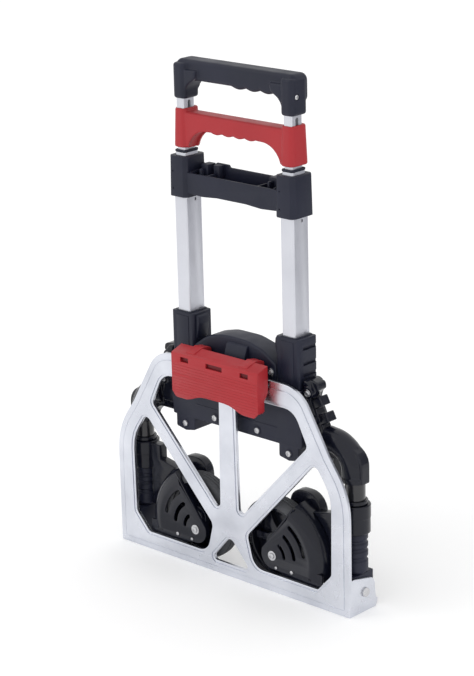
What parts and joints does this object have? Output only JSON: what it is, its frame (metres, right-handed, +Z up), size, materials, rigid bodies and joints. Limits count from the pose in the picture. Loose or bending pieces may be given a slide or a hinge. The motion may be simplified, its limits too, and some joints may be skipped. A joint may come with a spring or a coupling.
{
  "type": "hand truck",
  "caption": "Folding hand truck stood folded: windowed toe plate with a red latch, slotted wheel guards on swing arms, telescoping tubes, red release handle and black top grip.",
  "frame": {"origin": "centre of the folded truck's outline on the floor it stands on", "axes": "+Z up along the handle tubes, -Y out of the toe plate's outer face, +X to the right when the toe plate is seen from outside"},
  "size_m": [0.4986, 0.0939, 0.813],
  "materials": {
    "aluminium": "satin",
    "black_plastic": "satin",
    "red_plastic": "satin",
    "steel": "zinc plated",
    "leg_paint": "gloss black",
    "tyre": "matt"
  },
  "bodies": {
    "frame": {"cross_member": "black_plastic", "arch_cover": "black_plastic", "bridge": "black_plastic", "outer_tube_left": "aluminium", "outer_tube_right": "aluminium", "socket_left": "black_plastic", "socket_right": "black_plastic", "shoulder_left": "black_plastic", "shoulder_right": "black_plastic", "leg_left": "leg_paint", "leg_right": "leg_paint", "leg_collar_left": "black_plastic", "leg_collar_right": "black_plastic", "foot_left": "black_plastic", "foot_right": "black_plastic", "pivot_bolt_left": "steel", "pivot_bolt_right": "steel", "cross_bolt_left_1": "steel", "cross_bolt_right_1": "steel", "cross_bolt_left_2": "steel", "cross_bolt_right_2": "steel"},
    "toe_plate": {"toe_plate": "aluminium", "latch_pin": "steel"},
    "latch": {"latch": "red_plastic"},
    "middle_stage": {"middle_tube_left": "aluminium", "middle_tube_right": "aluminium", "tube_bush_left": "black_plastic", "tube_bush_right": "black_plastic"},
    "handle": {"grip": "black_plastic", "inner_tube_left": "aluminium", "inner_tube_right": "aluminium", "grip_screw_left": "steel", "grip_screw_right": "steel"},
    "release": {"release_handle": "red_plastic", "lock_rod_left": "steel", "lock_rod_right": "steel"},
    "wheel_arm_left": {"wheel_arm_left": "black_plastic", "wheel_guard_left": "black_plastic", "axle_left": "steel", "guard_bolt_left": "steel"},
    "wheel_left": {"tyre_left": "tyre", "rim_left": "black_plastic", "bearing_left": "steel"},
    "wheel_arm_right": {"wheel_arm_right": "black_plastic", "wheel_guard_right": "black_plastic", "axle_right": "steel", "guard_bolt_right": "steel"},
    "wheel_right": {"tyre_right": "tyre", "rim_right": "black_plastic", "bearing_right": "steel"}
  },
  "joints": [
    {"name": "toe_hinge", "type": "hinge", "parent": "frame", "child": "toe_plate", "pos_m": [0, 0.017, 0.032], "axis": [1, 0, 0], "range_deg": [0, 94]},
    {"name": "latch_hinge", "type": "hinge", "parent": "toe_plate", "child": "latch", "pos_m": [0, -0.029, 0.338], "axis": [1, 0, 0], "range_deg": [0, 10], "stiffness_Nm_per_rad": 0.4, "springref_deg": -17.19},
    {"name": "wheel_arm_left_hinge", "type": "hinge", "parent": "frame", "child": "wheel_arm_left", "pos_m": [-0.224, 0.02, 0.149], "axis": [0, 0, 1], "range_deg": [0, 90]},
    {"name": "wheel_arm_right_hinge", "type": "hinge", "parent": "frame", "child": "wheel_arm_right", "pos_m": [0.224, 0.02, 0.149], "axis": [0, 0, 1], "range_deg": [-90, 0]},
    {"name": "wheel_left_spin", "type": "hinge", "parent": "wheel_arm_left", "child": "wheel_left", "pos_m": [-0.083, 0.007, 0.077], "axis": [0, 1, 0], "continuous": true},
    {"name": "wheel_right_spin", "type": "hinge", "parent": "wheel_arm_right", "child": "wheel_right", "pos_m": [0.083, 0.007, 0.077], "axis": [0, 1, 0], "continuous": true},
    {"name": "middle_slide", "type": "slide", "parent": "frame", "child": "middle_stage", "axis": [0, 0, 1], "range_m": [0, 0.145]},
    {"name": "handle_slide", "type": "slide", "parent": "middle_stage", "child": "handle", "axis": [0, 0, 1], "range_m": [0, 0.145]},
    {"name": "release_slide", "type": "slide", "parent": "handle", "child": "release", "axis": [0, 0, 1], "range_m": [0, 0.013], "stiffness_N_per_m": 700, "springref_m": -0.01}
  ],
  "couplings": [
    {"joint": "wheel_arm_left_hinge", "follows": "toe_hinge", "ratio": 0.9574},
    {"joint": "wheel_arm_right_hinge", "follows": "toe_hinge", "ratio": -0.9574}
  ]
}
